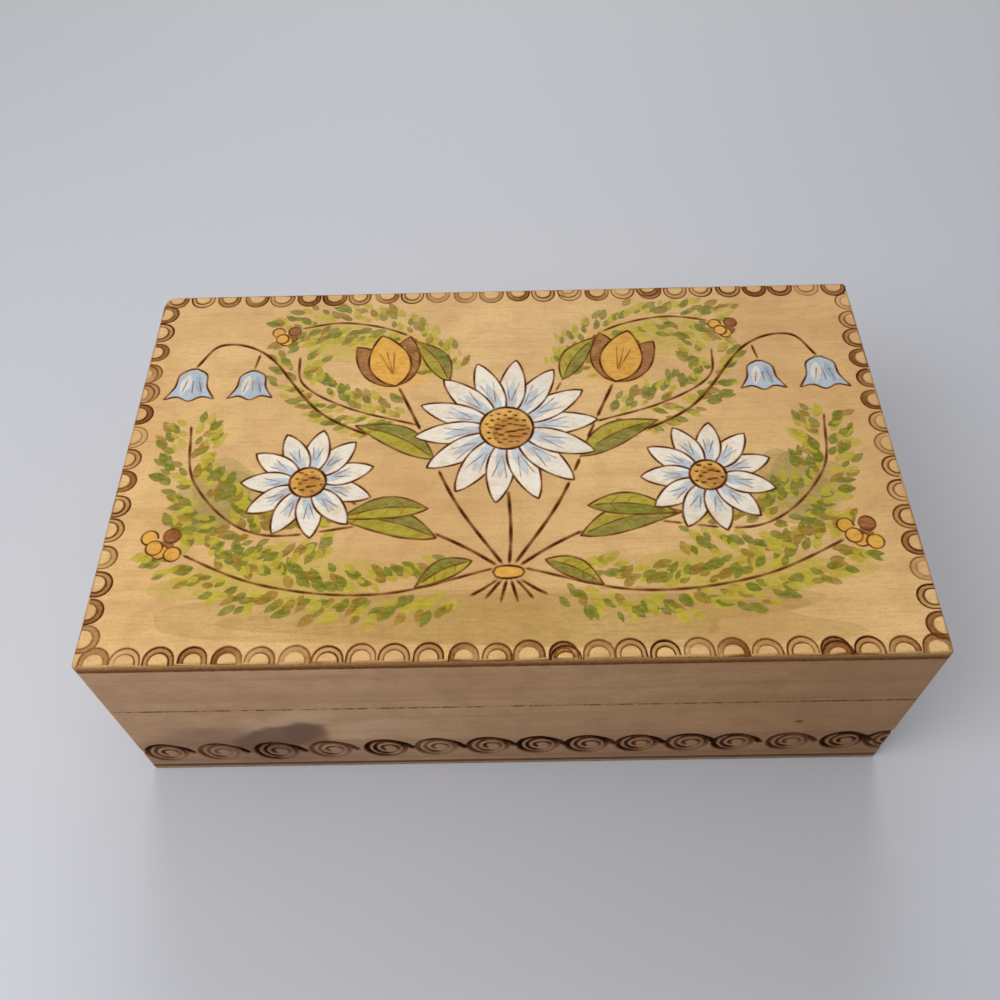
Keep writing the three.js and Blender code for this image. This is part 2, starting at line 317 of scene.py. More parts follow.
def triangulated(outline, guides, strokes, inside):
    """Triangles over a convex outline that follow the guides and every line of the strokes."""
    points = []
    edges = []

    def add(line, closed):
        first = len(points)
        points.extend(Vector(p) for p in line)
        edges.extend((first + i, first + i + 1) for i in range(len(line) - 1))
        if closed:
            edges.append((first + len(line) - 1, first))

    add(outline, True)
    for line, closed in guides:
        add(line, closed)
    for stroke in strokes:
        for line in stroke.lines():
            for start, end in runs(inside(line)):
                if end - start > 1:
                    add(line[start:end], False)
    verts, _, faces, *_ = delaunay_2d_cdt(points, edges, [], 0, NEAR)
    return np.array([tuple(v) for v in verts]), [list(f) for f in faces]


def engraved(points, strokes):
    """Depth and burn of the strokes at each point."""
    depth = np.zeros(len(points))
    burn = np.zeros(len(points))
    for stroke in strokes:
        stroke.apply(points, depth, burn)
    depth[depth < LEAST_DEPTH] = 0
    return depth, burn


# Meshes

def add_object(name, data):
    made = bpy.data.objects.new(name, data)
    bpy.context.scene.collection.objects.link(made)
    return made


def trimmed(mesh, cad_name):
    """A mesh cut to its CAD node, which has a back board's hinge seats and bevel."""
    welded = bmesh.new()
    welded.from_mesh(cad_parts[cad_name].data)
    bmesh.ops.remove_doubles(welded, verts=welded.verts, dist=1e-3 * MM)
    shape = bpy.data.meshes.new("cad shape")
    welded.to_mesh(shape)
    welded.free()
    cutter = add_object("cutter", shape)
    blank = add_object("blank", mesh)
    trim = blank.modifiers.new("trim", "BOOLEAN")
    trim.operation = "INTERSECT"
    trim.solver = "EXACT"
    trim.object = cutter
    result = bpy.data.meshes.new_from_object(blank.evaluated_get(bpy.context.evaluated_depsgraph_get()))
    for item in (cutter, blank):
        bpy.data.objects.remove(item)
    return result


def make_piece(name, body, verts, faces, smooth, material, node, burn, paint=None, trim=False):
    """A closed mesh from millimetre points, riding on a body and standing for a CAD node."""
    mesh = bpy.data.meshes.new(name)
    mesh.from_pydata([tuple(c * MM for c in v) for v in verts], [], faces)
    mesh.attributes.new("burn", "FLOAT", "POINT").data.foreach_set("value", burn.astype(np.float32))
    if paint is not None:
        layer = mesh.attributes.new("paint", "FLOAT_COLOR", "FACE")
        layer.data.foreach_set("color", paint.ravel().astype(np.float32))
    mesh.polygons.foreach_set("use_smooth", smooth)
    work = bmesh.new()
    work.from_mesh(mesh)
    bmesh.ops.recalc_face_normals(work, faces=work.faces)
    work.to_mesh(mesh)
    work.free()
    mesh.materials.append(material)
    if trim:
        mesh = trimmed(mesh, node)
    piece = add_object(name, mesh)
    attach(piece, body)
    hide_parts(node)


def arris(radius, steps=EDGE_STEPS):
    """(distance from the end, inset) along a rounded arris, from its end to the flat face."""
    angles = [pi / 2 * i / steps for i in range(steps + 1)]
    return [(radius * (1 - cos(a)), radius * (1 - sin(a))) for a in angles]


def side_rows(heights, radii):
    """(height, inset) up the outer face of a board or panel with rounded arrises."""
    low, high = heights
    lower = [(low + distance, inset) for distance, inset in arris(radii[0])]
    return lower + [(high - distance, inset) for distance, inset in reversed(arris(radii[1]))]


def ring_faces(one, other):
    """The faces between two closed rings of points."""
    count = len(one)
    return [[one[i], one[(i + 1) % count], other[(i + 1) % count], other[i]] for i in range(count)]


def board_lines(start, end, rows, folds):
    """The outline of a board's unrolled outer face, and the lines along its rows and bends."""
    low, *between, high = rows
    across = [start, *folds, end]
    outline = [(x, low) for x in across] + [(end, h) for h in between]
    outline += [(x, high) for x in reversed(across)] + [(start, h) for h in reversed(between)]
    guides = [(np.array([(x, h) for x in across]), False) for h in between]
    guides += [(np.array([(f, h) for h in rows]), False) for f in folds]
    return outline, guides


def closing_faces(flat, along, heights, count):
    """A board's inner sides, ends, top and underside.
    The points of its inner corners follow those of the outer face, low and high in turn."""

    def edge_of(axis, value):
        found = np.flatnonzero(abs(flat[:, axis] - value) < NEAR)
        return list(found[flat[found, 1 - axis].argsort()])

    under = [len(flat) + 2 * i for i in range(count)]
    over = [i + 1 for i in under]
    faces = [[under[i], under[i + 1], over[i + 1], over[i]] for i in range(count - 1)]
    faces.append(edge_of(0, along[1]) + [over[0], under[0]])
    faces.append(edge_of(0, along[0])[::-1] + [under[-1], over[-1]])
    faces.append(edge_of(1, heights[1]) + over)
    faces.append(edge_of(1, heights[0]) + under)
    return faces


def in_arc(along, folds):
    """Whether a place lies in a rounded corner, where the bends are close together."""
    return any(a < along < b for a, b in zip(folds, folds[1:]) if b - a < CORNER_RADIUS)


def shrunk(verts):
    """The same points a hair nearer to their middle, clear of the faces of the CAD node."""
    verts = np.array(verts)
    low, high = verts.min(0), verts.max(0)
    middle = (low + high) / 2
    return middle + (verts - middle) * (1 - 2 * TRIM_GAP / (high - low))


def board(name, body, node, outline, along, inner, heights, radii, strokes, material, trim=False):
    """A wall or rail: an engraved outer face along the outline, flat faces behind it."""
    low, high = heights
    start, end = along
    row_heights, row_insets = zip(*side_rows(heights, radii))
    folds = outline.folds(start, end)
    corners, guides = board_lines(start, end, row_heights, folds)

    def inside(line):
        along_ok = (line[:, 0] > start + BOARD_MARGIN) & (line[:, 0] < end - BOARD_MARGIN)
        return along_ok & (line[:, 1] > low + radii[0]) & (line[:, 1] < high - radii[1])

    flat, faces = triangulated(corners, guides, strokes, inside)
    depth, burn = engraved(flat, strokes)
    plan, normal = outline.at(flat[:, 0])
    inset = depth + np.interp(flat[:, 1], row_heights, row_insets)
    verts = [(*(p - n * d), z) for p, n, d, z in zip(plan, normal, inset, flat[:, 1])]
    curved = inset > NEAR
    smooth = [bool(curved[f].any()) or in_arc(flat[f, 0].mean(), folds) for f in faces]

    closing = closing_faces(flat, along, heights, len(inner))
    faces += closing
    smooth += [False] * len(closing)
    verts += [(x, y, z) for x, y in inner for z in heights]
    burn = np.concatenate([burn, np.zeros(len(verts) - len(flat))])
    if trim:
        verts = shrunk(verts)
    make_piece(name, body, verts, faces, smooth, material, node, burn, trim=trim)


def slab(name, body, node, outline, heights, radii, material):
    """A plain thin panel with both its arrises rounded."""
    verts = []
    rings = []
    for height, inset in side_rows(heights, radii):
        first = len(verts)
        verts += outline.ring(inset, height)
        rings.append(list(range(first, len(verts))))
    faces = [face for lower, upper in zip(rings, rings[1:]) for face in ring_faces(lower, upper)]
    smooth = [True] * len(faces) + [False, False]
    faces += [rings[0], rings[-1]]
    make_piece(name, body, verts, faces, smooth, material, node, np.zeros(len(verts)))


# The running scroll

def spiral_rings(ring_burn, tail_burn):
    """Rows of x, z, burn and swell, clockwise from the eye to where the tail leaves."""
    rows = []
    for i in range(SCROLL_STEPS + 1):
        share = i / SCROLL_STEPS
        angle = SCROLL_LEAVE - SCROLL_TURNS * 2 * pi * (1 - share)
        radius = min(SCROLL_RADIUS, SCROLL_INNER_RADIUS + SCROLL_GROWTH * share)
        shift = min(1, (1 - share) * SCROLL_EYE_RETURN)
        x = radius * sin(angle) + SCROLL_EYE_SHIFT[0] * shift
        z = radius * cos(angle) * SCROLL_TALL + SCROLL_EYE_SHIFT[1] * shift
        faded = max(0, cos(angle - SCROLL_FADED_SIDE)) ** 2
        knot = exp(-((share - SCROLL_KNOT) / SCROLL_KNOT_REACH) ** 2)
        outer = np.interp(share, (0.5, 0.68), (0, 1))
        leaving = np.interp(share, (0.93, 1), (0, 1))
        burn = ring_burn * (0.85 + 0.15 * outer) * (1 - 0.7 * faded) + 0.3 * knot
        burn += (tail_burn - burn) * leaving
        rows.append((x, z, burn, 0.8 + 0.3 * outer + 0.3 * knot + 0.25 * leaving))
    return rows


def spiral_tail(x, z, length, burn):
    """Rows of the tail, which bends down to the next spiral."""
    rows = []
    step = length / SCROLL_TAIL_STEPS
    for i in range(1, SCROLL_TAIL_STEPS + 1):
        heading = SCROLL_LEAVE + SCROLL_TAIL_BEND * length * (i - 0.5) / SCROLL_TAIL_STEPS
        x += step * cos(heading)
        z -= step * sin(heading)
        swell = np.interp(i, (0, SCROLL_TAIL_STEPS / 2, SCROLL_TAIL_STEPS), SCROLL_TAIL_SWELL)
        rows.append((x, z, burn, swell))
    return rows


def spiral(centre, height, size, burns, rng):
    """One spiral of the scroll and its tail, burned unevenly."""
    rows = spiral_rings(*burns)
    tail = SCROLL_TAIL * rng.uniform(0.92, 1.06)
    rows += spiral_tail(*rows[-1][:2], tail, burns[1])
    rows = resampled(rows, LINE_STEP)
    share = np.linspace(0, 1, len(rows))
    phase = rng.uniform(0, PHASES)
    uneven = 0.94 + 0.1 * np.sin(share * 17 + phase) + 0.08 * np.sin(share * 41 + 2 * phase)
    burned = np.clip(uneven * rows[:, 2], 0.12, 1)
    burned[[0, -1]] = 0
    stations = line_stations(SCROLL_LINE, SCROLL_DEPTH, SCROLL_HALO, SCROLL_SHOULDER)
    return Stroke(rows[:, :2] * size + (centre, height), stations, burned, rows[:, 3])


def scroll_height(along):
    """It rises along the left half of the front and comes back down round the other sides."""
    places = (*SCROLL_RISE_AT, HALF_LENGTH, SCROLL_FIRST + tray_outline.total)
    return SCROLL_HEIGHT + np.interp(along, places, (0, SCROLL_RISE, SCROLL_RISE, 0))


def scroll_strokes():
    """Spirals all round the tray, at measured places on the front and evenly spread elsewhere."""
    rng = random.Random(SCROLL_SEED)
    places = [SCROLL_FIRST]
    for step in SCROLL_FRONT_STEPS:
        places.append(places[-1] + step)
    burns = list(SCROLL_FRONT_BURN)
    last = places[-1]
    gap = SCROLL_FIRST + tray_outline.total - last
    more = int(round(gap / SCROLL_PITCH)) - 1
    for i in range(1, more + 1):
        places.append(last + gap * i / (more + 1) + rng.uniform(-0.35, 0.35))
        burns.append((rng.uniform(0.6, 0.95), rng.uniform(0.7, 1.0)))
    strokes = []
    for place, burn in zip(places, burns):
        height = scroll_height(place) + rng.uniform(-0.15, 0.15)
        strokes.append(spiral(place, height, rng.uniform(0.99, 1.05), burn, rng))
    return strokes


def strokes_between(strokes, start, end):
    """The strokes that touch a stretch of the tray's outline, moved into it by whole turns."""
    reach = 2
    found = []
    for stroke in strokes:
        for turn in (-1, 0, 1):
            moved = stroke.moved((turn * tray_outline.total, 0))
            if moved.path[:, 0].max() > start - reach and moved.path[:, 0].min() < end + reach:
                found.append(moved)
    return found


# Shapes of the painted lid

def turned(points, angle):
    c, s = cos(angle), sin(angle)
    return np.array(points) @ np.array([[c, s], [-s, c]])


def polar(length, angle):
    return length * np.array([cos(angle), sin(angle)])


def swelling(t):
    """Width of a leaf or petal at shares of its length, greatest a little before the middle."""
    return np.sin(pi * t ** 0.85)


def blade(at, angle, length, width, blunt=1.0, bend=0.0, steps=13):
    """A closed leaf or petal outline from its foot. A low blunt value makes a rounder end."""
    t = np.linspace(0, 1, steps)
    half = width / 2 * swelling(t) ** blunt
    spine = bend * length * np.sin(pi * t)
    upper = np.stack([t * length, spine + half], axis=1)
    lower = np.stack([t * length, spine - half], axis=1)[::-1]
    return turned(np.vstack([upper, lower[1:-1]]), angle) + at


def disc(at, radius, steps=18):
    angles = np.linspace(0, 2 * pi, steps, endpoint=False)
    return np.stack([np.cos(angles), np.sin(angles)], axis=1) * radius + at


def curve(*points, steps=24):
    """A smooth open line through a few points."""
    points = np.array(points, float)
    ends = np.vstack([2 * points[0] - points[1], points, 2 * points[-1] - points[-2]])
    t = np.linspace(0, 1, steps, endpoint=False)[:, None]
    line = []
    for a, b, c, d in zip(ends, ends[1:], ends[2:], ends[3:]):
        line.append(b + (c - a) * t / 2 + (a - 2.5 * b + 2 * c - d / 2) * t ** 2
                    + (1.5 * b - a / 2 - 1.5 * c + d / 2) * t ** 3)
    return np.vstack([*line, points[-1:]])


def contains(polygon, points):
    """Which points lie inside a closed polygon."""
    inside = np.zeros(len(points), bool)
    near = within(points, polygon.min(0), polygon.max(0))
    if len(near) == 0:
        return inside
    x, y = points[near].T
    odd = np.zeros(len(near), bool)
    for (ax, ay), (bx, by) in zip(polygon, np.roll(polygon, -1, axis=0)):
        crosses = (ay > y) != (by > y)
        if crosses.any():
            odd ^= crosses & (x < (bx - ax) * (y - ay) / (by - ay + NEVER_ZERO) + ax)
    inside[near] = odd
    return inside


class Painting:
    """Painted shapes from back to front. Burned lines that a later shape covers are left out."""

    def __init__(self, seed):
        self.rng = random.Random(seed)
        self.layers = []

    def fill(self, polygon, colour, cover, opaque=False):
        shade = 1 + self.rng.uniform(-0.06, 0.06)
        colour = tuple(min(1.0, c * shade) for c in colour)
        self.layers.append({"polygon": np.array(polygon), "colour": colour, "cover": cover, "opaque": opaque})

    def line(self, path, width, strength, closed=False):
        self.layers.append({"path": np.array(path), "width": width, "strength": strength, "closed": closed})

    def outlined(self, polygon, colour, cover, width, strength):
        self.fill(polygon, colour, cover, opaque=True)
        self.line(polygon, width, strength, closed=True)

    def seen(self, path, later_layers):
        """Which points of a path no later opaque shape covers."""
        seen = np.ones(len(path), bool)
        for later in later_layers:
            if later.get("opaque"):
                seen &= ~contains(later["polygon"], path)
        return seen

    def strokes(self):
        found = []
        for i, layer in enumerate(self.layers):
            if "path" not in layer:
                continue
            path = layer["path"]
            if layer["closed"]:
                path = np.vstack([path, path[:1]])
            path = resampled(path, LINE_STEP)
            stations = line_stations(layer["width"], PAINT_LINE_DEPTH, PAINT_LINE_HALO, PAINT_LINE_SHOULDER)
            phase = self.rng.uniform(0, PHASES)
            press = layer["strength"] * (0.85 + 0.2 * np.sin(np.arange(len(path)) * 0.37 + phase))
            for start, end in runs(self.seen(path, self.layers[i + 1:])):
                count = end - start
                if count > min(3, len(path) - 1):
                    from_end = np.minimum(np.arange(count), np.arange(count)[::-1])
                    steady = layer["closed"] or count < DOT_POINTS
                    fade = 1.0 if steady else np.clip(from_end / LINE_FADE, 0, 1)
                    found.append(Stroke(path[start:end], stations, press[start:end] * fade, 0.5 + 0.5 * fade))
        return found

    def guides(self):
        return [(layer["polygon"], True) for layer in self.layers if "polygon" in layer]

    def colours(self, points):
        """Paint colour and cover at each point."""
        paint = np.zeros((len(points), 4))
        for layer in self.layers:
            if "polygon" not in layer:
                continue
            hit = contains(layer["polygon"], points)
            share = layer["cover"]
            before = paint[hit, 3:] * (1 - share)
            total = before + share
            paint[hit, :3] = (paint[hit, :3] * before + np.array(layer["colour"]) * share) / total
            paint[hit, 3:] = total
        return paint


WHITE = srgb(238, 232, 220)
PALE_BLUE = srgb(176, 196, 214)
DEEP_BLUE = srgb(142, 166, 192)
OCHRE = srgb(224, 168, 66)
RUST = srgb(138, 74, 30)
OLIVE = srgb(146, 118, 28)
LIME = srgb(184, 169, 48)
GREEN = srgb(113, 119, 18)
BARK = srgb(140, 92, 52)
FOLIAGE = (LIME, GREEN, LIME, OLIVE, GREEN)
BODY = 0.92  # cover of thick paint

# Half width and strength of the drawn lines
STEM_LINE = (0.36, 0.85)
PETAL_LINE = (0.2, 0.85)
CUP_LINE = (0.22, 0.9)
HEART_LINE = (0.26, 0.95)
TIE = (0, -33)  # where the stems meet


def paint_veins(art, foot, angle, turns, near, far, line):
    """Fine lines that fan out along a petal."""
    for turn in turns:
        art.line(curve(foot + polar(near, angle), foot + polar(far, angle + turn), steps=8), *line)


def paint_daisy(art, at, reach, petals, heart, spin):
    at = np.array(at, float)
    length = reach - heart * 0.6
    width = 2.15 * pi * (reach * 0.62) / petals
    for i in range(petals):
        angle = spin + 2 * pi * i / petals
        foot = at + polar(heart * 0.6, angle)
        art.outlined(blade(foot, angle, length, width, 0.72), WHITE, BODY, *PETAL_LINE)
        art.fill(blade(foot, angle, length * 0.62, width * 0.46, 0.9), PALE_BLUE, 0.75)
        paint_veins(art, foot, angle, (-0.16, 0.16), length * 0.22, length * 0.66, (0.1, 0.5))
    art.outlined(disc(at, heart, 24), OCHRE, BODY, *HEART_LINE)
    art.fill(disc(at + (heart * 0.18, -heart * 0.2), heart * 0.74), RUST, 0.45)
    golden = pi * (3 - sqrt(5))
    dots = int(heart * heart * 0.9)
    for i in range(1, dots):
        spot = at + polar(heart * 0.84 * sqrt(i / dots), i * golden)
        art.line([spot - (0.2, 0), spot + (0.2, 0)], 0.22, 0.9)


def paint_tulip(art, at, angle, size):
    for side in (-1, 1):
        art.outlined(blade(at, angle + side * 0.42, size, size * 0.5, 0.8), RUST, 0.8, *PETAL_LINE)
        art.fill(blade(at, angle + side * 0.36, size * 0.8, size * 0.22, 0.9), OCHRE, 0.8)
    art.outlined(blade(at, angle, size * 1.05, size * 0.62, 0.8), OCHRE, BODY, *CUP_LINE)
    paint_veins(art, at, angle, (-0.16, 0, 0.16), size * 0.2, size * 0.74, (0.12, 0.55))


def paint_bell(art, at, size):
    side = curve((0.08, 0), (0.34, -0.2), (0.4, -0.6), (0.62, -1.0), steps=8)
    hem = curve((0.62, -1.0), (0.3, -0.92), (0, -1.06), (-0.3, -0.92), (-0.62, -1.0), steps=5)
    shape = np.vstack([side, hem[1:-1], side[::-1] * (-1, 1)]) * size + at
    art.outlined(shape, PALE_BLUE, BODY, *PETAL_LINE)
    for place, colour, width in ((-0.16, WHITE, 0.26), (0.2, DEEP_BLUE, 0.2)):
        foot = at + (place * 0.6 * size, -0.18 * size)
        art.fill(blade(foot, -pi / 2 + place, size * 0.72, size * width), colour, 0.7)
    for place in (-0.2, 0.05, 0.28):
        top, end = (place * 0.5, -0.3), (place * 1.1, -0.86)
        art.line(curve(at + np.multiply(top, size), at + np.multiply(end, size), steps=8), 0.11, 0.55)


def paint_wash(art, at, reach, colour, cover):
    """A loose patch of thin colour with an uneven rim, in two layers."""
    steps = 40
    angles = np.linspace(0, 2 * pi, steps, endpoint=False)
    for grow in (1.0, 0.8):
        phases = [art.rng.uniform(0, PHASES) for _ in range(3)]
        rim = 1 + sum(0.1 * np.sin((k + 2) * angles + phase) for k, phase in enumerate(phases))
        shape = disc((0, 0), 1, steps) * reach * (rim * grow)[:, None]
        art.fill(shape + at, colour, cover)


def paint_leaf(art, at, angle, length, width, bend):
    """A green leaf with one half lit, a midrib and four pairs of veins."""
    art.outlined(blade(at, angle, length, width, 1.0, bend), GREEN, 0.85, 0.18, 0.75)

    def middle(t):
        return np.stack([t * length, bend * length * np.sin(pi * t)], axis=-1)

    t = np.linspace(0.04, 0.9, 12)
    spine = middle(t)
    rim = np.stack([t * length, spine[:, 1] + width / 2 * swelling(t) * 0.86], axis=1)
    art.fill(turned(np.vstack([spine, rim[::-1]]), angle) + at, LIME, 0.7)
    art.line(turned(spine, angle) + at, 0.14, 0.65)
    for step in (0.25, 0.42, 0.59, 0.76):
        for side in (-1, 1):
            foot = middle(step)
            reach = width * 0.36 * swelling(step)
            end = foot + (reach * 0.8, side * reach)
            art.line(turned([foot, (foot + end) / 2, end], angle) + at, 0.09, 0.45)


def paint_spray(art, path, dabs, size):
    """A twig with loose brushed leaves on both sides."""
    twig = resampled(path, 0.8)
    art.line(twig, 0.3, 0.75)
    for i in range(dabs):
        share = 0.12 + 0.88 * i / dabs
        k = min(len(twig) - 2, int(share * (len(twig) - 1)))
        ahead = atan2(*(twig[k + 1] - twig[k])[::-1])
        side = 1 if i % 2 else -1
        away = turned([(0.6, side * art.rng.uniform(0.4, 6.0))], ahead)[0]
        angle = ahead + side * art.rng.uniform(0.3, 1.1)
        length = size * art.rng.uniform(0.75, 1.3)
        shape = blade(twig[k] + away, angle, length, length * art.rng.uniform(0.42, 0.6), 0.8, steps=8)
        art.fill(shape, art.rng.choice(FOLIAGE), art.rng.uniform(0.72, 0.92))


def paint_berries(art, at, count, radius):
    for i in range(count):
        spot = at + polar(radius * 1.9 * (0.35 + 0.65 * (i % 2)), i * 2.4)
        art.outlined(disc(spot, radius, 12), OCHRE if i % 3 else RUST, 0.9, 0.16, 0.8)


def paint_half(art, side):
    """The left or the right half of the bouquet."""
    def at(x, y):
        return np.array([side * x, y], float)

    def arc(*points):
        return curve(*points) * (side, 1)

    paint_wash(art, at(50, -34), (25, 5.5), LIME, 0.36)
    paint_wash(art, at(66, -12), (10, 11), GREEN, 0.3)
    paint_wash(art, at(38, 36), (15, 6.5), LIME, 0.34)
    paint_wash(art, at(27, 29), (10, 11), OCHRE, 0.3)
    paint_spray(art, arc((3, -32), (28, -38), (54, -35), (78, -24)), 190, 3.6)
    paint_spray(art, arc((12, 18), (22, 36), (40, 43), (58, 40)), 140, 3.4)
    paint_spray(art, arc((30, -20), (56, -22), (72, -8), (76, 10)), 180, 3.6)
    paint_spray(art, arc((20, 8), (38, 14), (50, 22), (52, 32)), 120, 3.4)
    art.line(arc(TIE, (14, -24), (44, -10)), *STEM_LINE)
    art.line(arc(TIE, (12, -14), (21, 8), (27, 22)), *STEM_LINE)
    art.line(arc((20, 0), (44, 12), (60, 32), (72, 36), (78, 28)), 0.34, 0.85)
    art.line(arc((62, 33), (63, 27)), 0.26, 0.8)
    for x, y, turn, length, width in ((16, -24, 0.25, 24, 7), (17, -2, 0.5, 22, 7), (14, 22, 1.0, 17, 6),
                                      (18, -16, -0.12, 20, 6), (8, -30, -0.5, 14, 5)):
        angle = turn if side > 0 else pi - turn
        paint_leaf(art, at(x, y), angle, length, width, 0.08 * side)
    paint_tulip(art, at(27, 21), pi / 2 - side * 0.25, 17)
    paint_bell(art, at(78, 28), 10)
    paint_bell(art, at(63, 27), 9)
    paint_berries(art, at(77, -25), 6, 1.9)
    paint_berries(art, at(56, 38), 5, 1.6)
    paint_daisy(art, at(46, -8), 15.5, 11, 4.2, 0.3 * side)
    for drop in (0, 1, 2):
        art.line(arc(TIE, (1 + 2.2 * drop, -37), (2 + 3.4 * drop, -41 + drop)), 0.32, 0.85)


def bouquet():
    """A generic spray of garden flowers, symmetrical apart from the hand's unevenness."""
    art = Painting(PAINT_SEED)
    paint_wash(art, (0, -44), (80, 7), OLIVE, 0.26)
    for side in (-1, 1):
        paint_half(art, side)
    art.line(curve(TIE, (0.6, -22), (0, -8)), *STEM_LINE)
    paint_daisy(art, (0, 7), 22, 14, 6.4, 0.1)
    art.outlined(blade((-3.4, -33), 0, 6.8, 3.2, 0.35), OCHRE, BODY, *CUP_LINE)
    return art


# The lid's top panel

def stamp_shape():
    """Columns x, y and swell of a half ring, open to -y and thickest at its top."""
    arc = np.linspace(pi, 0, 17)
    swell = STAMP_THIN + 0.3 * np.sin(arc)
    ring = np.stack([np.cos(arc) * STAMP_RADIUS, np.sin(arc) * STAMP_RADIUS, swell], axis=1)
    feet = [[(side * STAMP_RADIUS, -STAMP_FOOT, STAMP_THIN)] for side in (-1, 1)]
    return resampled(np.vstack([feet[0], ring, feet[1]]), STAMP_STEP)


def border_stamps():
    """Half-ring stamps all round the lid, open to its edge, no two struck alike."""
    rng = random.Random(STAMP_SEED)
    shape = stamp_shape()
    share = np.linspace(-1, 1, len(shape))
    strokes = []
    sides = (((FRONT_STAMP_SHIFT, -HALF_DEPTH), HALF_LENGTH), ((HALF_LENGTH, 0), HALF_DEPTH),
             ((0, HALF_DEPTH), HALF_LENGTH), ((-HALF_LENGTH, 0), HALF_DEPTH))
    for quarter, (middle, half) in enumerate(sides):
        run = 2 * half - STAMP_PITCH * 0.9 * (quarter % 2)
        count = int(round(run / STAMP_PITCH))
        for i in range(count):
            along = (i + 0.5 - count / 2) * run / count + rng.uniform(-0.3, 0.3)
            inset = STAMP_INSET + rng.uniform(-0.3, 0.3)
            strikes = [(0, 0)] if rng.random() < STAMP_ONCE else [(0, 0), STAMP_SECOND_STRIKE]
            pressed = rng.uniform(0.6, 1.0)
            lean = rng.uniform(-0.4, 0.4)
            strength = np.clip(pressed * (1 + lean * share), 0.3, 1)
            stations = band_stations(rng.uniform(0.45, 0.76), rng.choice(STAMP_BAND_BURNS),
                                     rng.uniform(0.6, 0.9))
            for strike in strikes:
                placed = turned(shape[:, :2] * rng.uniform(0.94, 1.06), rng.uniform(-0.12, 0.12))
                path = turned(placed + (along, inset) + strike, quarter * pi / 2) + middle
                strokes.append(Stroke(path, stations, strength, shape[:, 2]))
    return strokes


def top_panel(material):
    """The lid's top: stamped border, painted field, rounded and scorched arris."""
    art = bouquet()
    strokes = border_stamps() + art.strokes()
    edge_at, edge_drop = zip(*arris(TOP_EDGE_RADIUS, TOP_EDGE_STEPS))
    loops = [(lid_outline.points - lid_outline.normals * distance, True) for distance in edge_at[1:]]

    def inside(line):
        return lid_outline.edge_distance(line) > PANEL_MARGIN

    flat, faces = triangulated(lid_outline.points, loops + art.guides(), strokes, inside)
    depth, burn = engraved(flat, strokes)
    distance = lid_outline.edge_distance(flat)
    drop = np.maximum(depth, np.interp(distance, edge_at, edge_drop))
    burn = np.maximum(burn, np.interp(distance, TOP_SCORCH_AT, TOP_SCORCH))
    verts = [(x, y, TOP - d) for (x, y), d in zip(flat, drop)]
    paint = art.colours(flat[np.array(faces)].mean(axis=1))
    smooth = [bool((drop[f] > NEAR).any()) for f in faces]

    ring = [int(np.hypot(*(flat - p).T).argmin()) for p in lid_outline.points]
    rows = [(height, 0, dark) for height, dark in SIDE_SCORCH]
    rows += [(height, inset, SIDE_SCORCH[-1][1]) for height, inset in reversed(arris(TOP_JOINT_RADIUS))]
    rows.append((0, 2 * TOP_JOINT_RADIUS, 0))
    for height, inset, dark in rows:
        first = len(verts)
        verts += lid_outline.ring(inset, panel_low[2] + height)
        below = list(range(first, len(verts)))
        faces += ring_faces(ring, below)
        smooth += [True] * len(ring)
        burn = np.concatenate([burn, np.full(len(ring), dark)])
        ring = below
    faces.append(ring)
    smooth.append(False)
    paint = np.vstack([paint, np.zeros((len(faces) - len(paint), 4))])
    make_piece("lid_panel", "lid", verts, faces, smooth, material,
               "lid_top_panel", burn, paint)


# Helpers for materials

MIX_SHARE, MIX_FIRST, MIX_SECOND, MIX_RESULT = 0, 6, 7, 2  # sockets of the mix node for colours


def new_material(name):
    material = bpy.data.materials.new(name)
    material.use_nodes = True
    return material, material.node_tree.nodes["Principled BSDF"]


def plug(made, inputs):
    """Links or sets inputs of a node."""
    for key, value in inputs.items():
        if isinstance(value, bpy.types.NodeSocket):
            made.id_data.links.new(value, made.inputs[key])
        else:
            made.inputs[key].default_value = value


def node(kind, inputs, **settings):
    """A node in the same tree as the sockets that feed it."""
    tree = next(value.id_data for value in inputs.values() if isinstance(value, bpy.types.NodeSocket))
    made = tree.nodes.new(kind)
    for key, value in settings.items():
        setattr(made, key, value)
    plug(made, inputs)
    return made


def math_node(operation, *values, clamp=False):
    made = node("ShaderNodeMath", dict(enumerate(values)), operation=operation, use_clamp=clamp)
    return made.outputs[0]


def product(first, *others):
    for other in others:
        first = math_node("MULTIPLY", first, other)
    return first


def scaled(value, factor, plus=0.0):
    return math_node("MULTIPLY_ADD", value, factor, plus)


def ramp(value, low, high):
    """0 at low, 1 at high, smooth between."""
    inputs = {"Value": value, "From Min": low, "From Max": high}
    return node("ShaderNodeMapRange", inputs, interpolation_type="SMOOTHSTEP").outputs["Result"]


def mix(share, first, second, blend="MIX"):
    first, second = ((*c, 1.0) if isinstance(c, tuple) else c for c in (first, second))
    inputs = {MIX_SHARE: share, MIX_FIRST: first, MIX_SECOND: second}
    made = node("ShaderNodeMix", inputs, data_type="RGBA", blend_type=blend, clamp_factor=True)
    return made.outputs[MIX_RESULT]


def toned(colour, pattern, low, high, share, tone, blend="MIX"):
    """A colour with a share of another where a pattern rises from low to high."""
    return mix(scaled(ramp(pattern, low, high), share), colour, tone, blend)


def noise(vector, scale, detail, roughness=0.55):
    inputs = {"Vector": vector, "Scale": scale, "Detail": detail, "Roughness": roughness}
    return node("ShaderNodeTexNoise", inputs).outputs["Fac"]


def stretched(vector, scale, seed=(0.0, 0.0, 0.0)):
    inputs = {"Vector": vector, "Scale": scale, "Location": seed}
    return node("ShaderNodeMapping", inputs).outputs["Vector"]


def vector_math(operation, inputs):
    return node("ShaderNodeVectorMath", inputs, operation=operation).outputs


